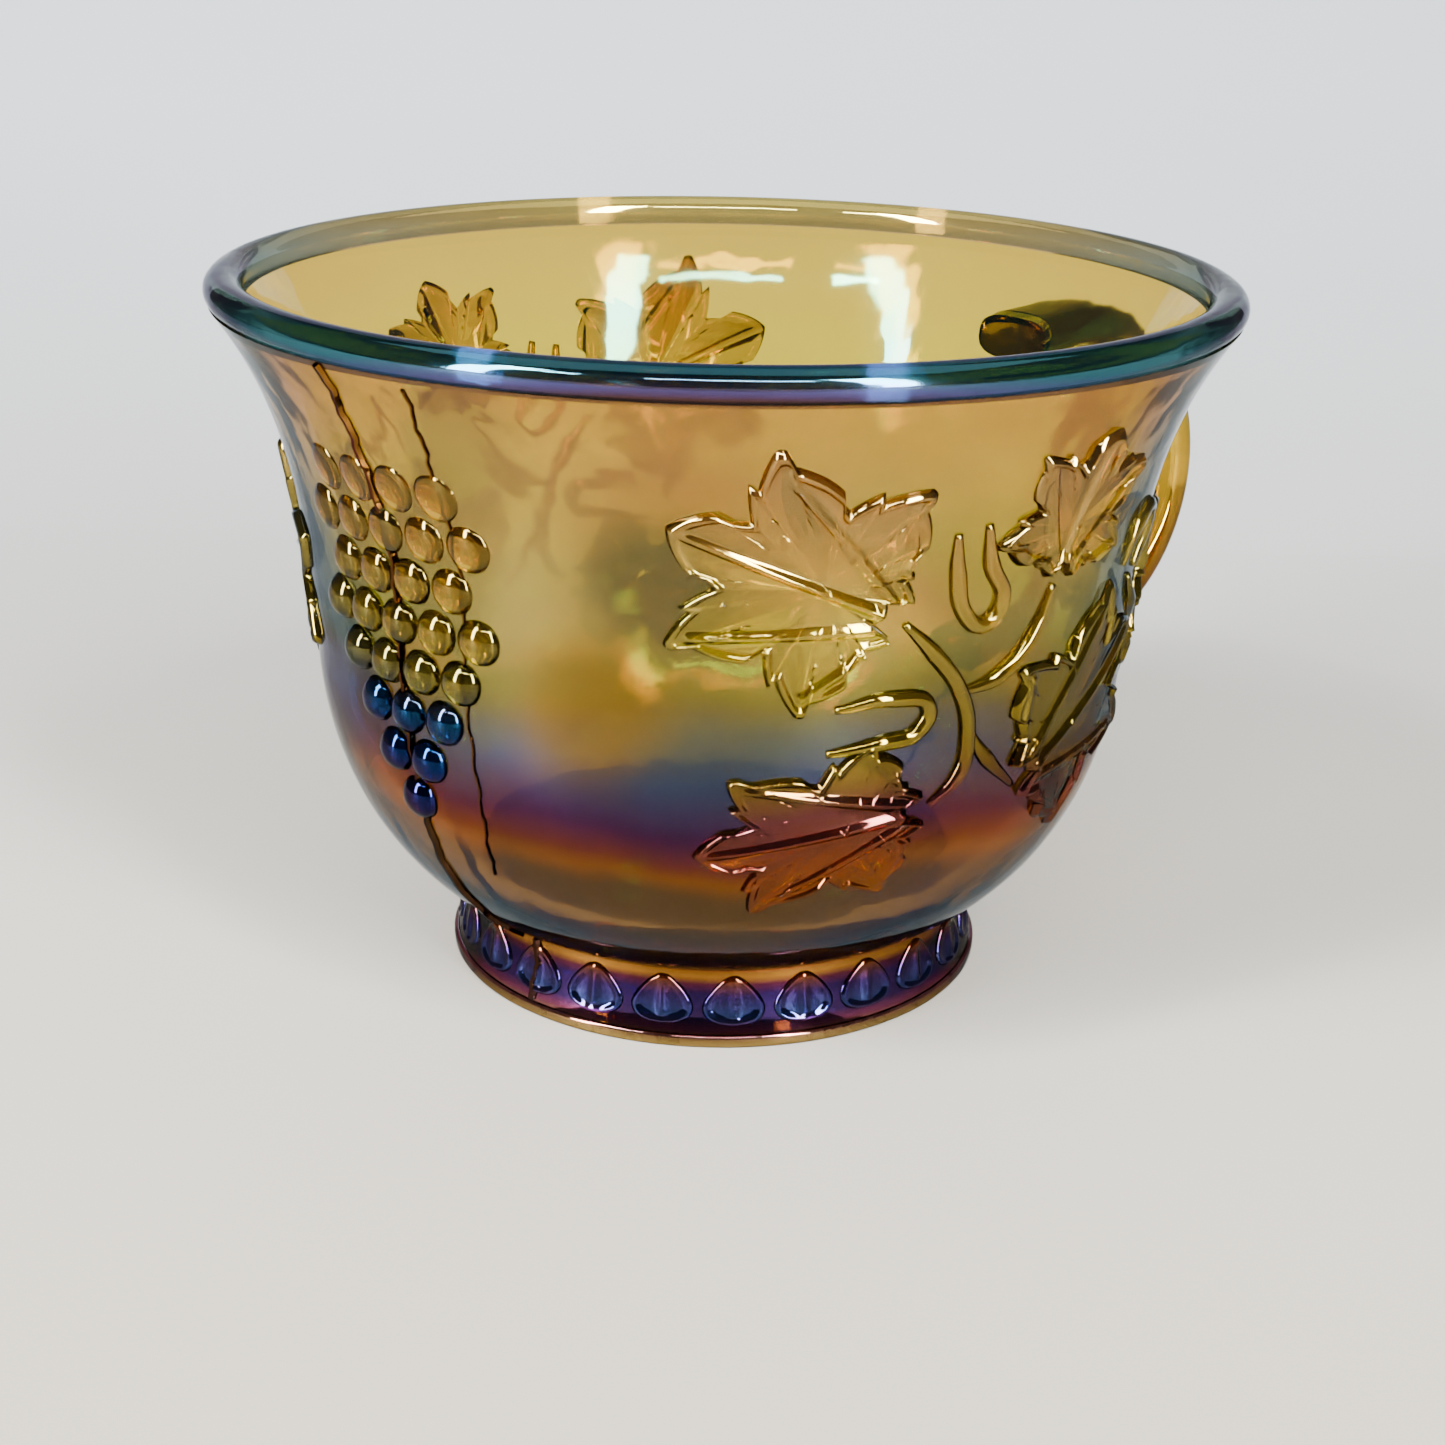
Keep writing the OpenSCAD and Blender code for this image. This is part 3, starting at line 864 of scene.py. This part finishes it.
# ---------------------------------------------------------------- mould seams
# Fine raised lines where the parts of the iron mould met: hot glass crept into the gap. They
# waver a little, and are ragged at the bottom.
SEAM_W = 0.7
SEAM_H = 0.35
FINE_SEAM_W = 0.35
FINE_SEAM_H = 0.14
SEAM_STEP = 0.7
SEAM_CREST = 0.45
RAGGED_Z = 21.0
RAGGED_WIDER = 1.25
RAGGED_CHANGE = 0.5
RAGGED_RATES = (6.1, 2.3)
# How far the line wavers to the side (mm), and how fast it does so with height
WAVERS = [(0.35, 0.31), (0.15, 1.7), (0.08, 4.3)]


def seam(az, z0, z1, place, height, width):
    """A thin ridge up the glass from z0 to z1: a square end pulled upwards step by step."""
    bpy.ops.object.select_all(action="DESELECT")
    bpy.ops.mesh.primitive_plane_add(size=1)
    piece = bpy.context.object
    steps = max(2, round((z1 - z0) / SEAM_STEP))
    bpy.ops.object.mode_set(mode="EDIT")
    bpy.ops.mesh.select_all(action="SELECT")
    for i in range(steps):
        bpy.ops.mesh.extrude_region_move(TRANSFORM_OT_translate={"value": (0, 0, 1)})
    bpy.ops.object.mode_set(mode="OBJECT")
    for v in piece.data.vertices:
        z = z0 + (z1 - z0) * v.co.z / steps
        waver = sum(far * math.sin(z * rate) for far, rate in WAVERS)
        aside = v.co.x * width * (1.0 if v.co.y < 0 else SEAM_CREST)
        if z < RAGGED_Z:
            fast, slow = (math.sin(z * rate) for rate in RAGGED_RATES)
            aside *= RAGGED_WIDER + RAGGED_CHANGE * fast * slow
        v.co = place(az, aside + waver, z, height if v.co.y > 0 else -SINK)
    bpy.ops.object.mode_set(mode="EDIT")
    bpy.ops.mesh.select_all(action="SELECT")
    bpy.ops.mesh.normals_make_consistent(inside=False)
    bpy.ops.object.mode_set(mode="OBJECT")
    bpy.ops.object.shade_smooth_by_angle(angle=SMOOTH_ANGLE)
    return piece


# The main seam, a finer one beside it, its end on the foot, and a short one under the handle
seams = join_pieces(
    [seam(SEAM_AZ, 7.6, WALL_TOP - 0.2, on_wall, SEAM_H, SEAM_W),
     seam(SEAM_AZ + math.radians(11), 18, WALL_TOP - 1.0, on_wall, FINE_SEAM_H, FINE_SEAM_W),
     seam(SEAM_AZ + math.radians(2), FLANGE_T + 0.1, 7.0, on_foot, SEAM_H, SEAM_W),
     seam(0, 8, 18, on_wall, SEAM_H, SEAM_W)], "mould_seams_glass")

# The film gathers thickly along a seam: dark brown and strongly metallic, so it reads as a line
SEAM_BANDS = [(0, "#2c1a10", 560), (20, "#34200c", 470), (64, "#6a4414", 450)]
seam_glass = carnival_glass("dark_seam_glass", SEAM_BANDS, metal=0.7)
seams.data.materials.append(seam_glass)
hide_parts("mould_seams")
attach(seams, "root")


# ---------------------------------------------------------------- handle
# A flat strap of glass, pressed with the bowl, that leaves the wall under the rim, turns down in
# a round loop for one finger and comes back into the belly. Its edges are rounded.
LOOP_R = 18.0
LOOP_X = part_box("handle")[1].x / MM - LOOP_R
LOOP_Z = (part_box("handle")[1].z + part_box("handle")[0].z) / 2 / MM
STRAP_T = 4.4
STRAP_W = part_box("handle")[1].y * 2 / MM
STRAP_SIDES = 40
STRAP_FLAT = 0.75
STRAP_SQUARE = 0.6
LOOP_MID = LOOP_R - STRAP_T / 2
INTO_WALL = 1.2
TOP_STEPS = 5
LOOP_STEPS = 48
LOW_STEPS = 6
HANDLE_SUNK = 0.1

# The strap's middle line: (x, z, direction of its outer face in degrees)
route = []
top_z, low_z = LOOP_Z + LOOP_MID, LOOP_Z - LOOP_MID
for i in range(TOP_STEPS):
    start = wall_r(top_z) - INTO_WALL
    route.append((start + (LOOP_X - start) * i / TOP_STEPS, top_z, 90))
for i in range(LOOP_STEPS + 1):
    w = 90 - 180 * i / LOOP_STEPS
    route.append((LOOP_X + LOOP_MID * math.cos(math.radians(w)),
                  LOOP_Z + LOOP_MID * math.sin(math.radians(w)), w))
for i in range(1, LOW_STEPS + 1):
    end = wall_r(low_z) - INTO_WALL
    route.append((LOOP_X + (end - LOOP_X) * i / LOW_STEPS, low_z, -90))

bpy.ops.object.select_all(action="DESELECT")
bpy.ops.mesh.primitive_circle_add(vertices=STRAP_SIDES, radius=1, fill_type="NGON")
handle = bpy.context.object
handle.name = "handle_glass"
bpy.ops.object.mode_set(mode="EDIT")
bpy.ops.mesh.select_all(action="SELECT")
for i in range(len(route) - 1):
    bpy.ops.mesh.extrude_region_move(TRANSFORM_OT_translate={"value": (0, 0, 1)})
bpy.ops.mesh.select_all(action="SELECT")
bpy.ops.object.mode_set(mode="OBJECT")
for v in handle.data.vertices:
    x, z, w = route[round(v.co.z)]
    turn = math.atan2(v.co.y, v.co.x)
    out = STRAP_T / 2 * squared(math.cos(turn), STRAP_FLAT)
    wide = STRAP_W / 2 * squared(math.sin(turn), STRAP_SQUARE)
    v.co = Vector((x + out * math.cos(math.radians(w)), wide,
                   z + out * math.sin(math.radians(w)))) * MM
bpy.ops.object.mode_set(mode="EDIT")
bpy.ops.mesh.select_all(action="SELECT")
bpy.ops.mesh.normals_make_consistent(inside=False)
bpy.ops.object.mode_set(mode="OBJECT")
bpy.ops.object.shade_smooth_by_angle(angle=SMOOTH_ANGLE)

# The handle's film is thick at its root under the rim, so it is navy and teal there, and thin
# on the loop, which looks amber gold
HANDLE_BANDS = [(18, "#8a4410", 470), (26, "#b87c18", 450), (42, "#d0b028", 425),
                (50, "#2c5058", 600), (54, "#123c50", 610), (57, "#0e2c44", 620)]
handle_glass = carnival_glass("amber_strap_glass", HANDLE_BANDS, metal=0.3)
handle.data.materials.append(handle_glass)
faces_inside(handle, joined_glass,
             lambda c: c.xy.length < wall_r(min(c.z, WALL_TOP)) - HANDLE_SUNK)
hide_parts("handle")
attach(handle, "root")
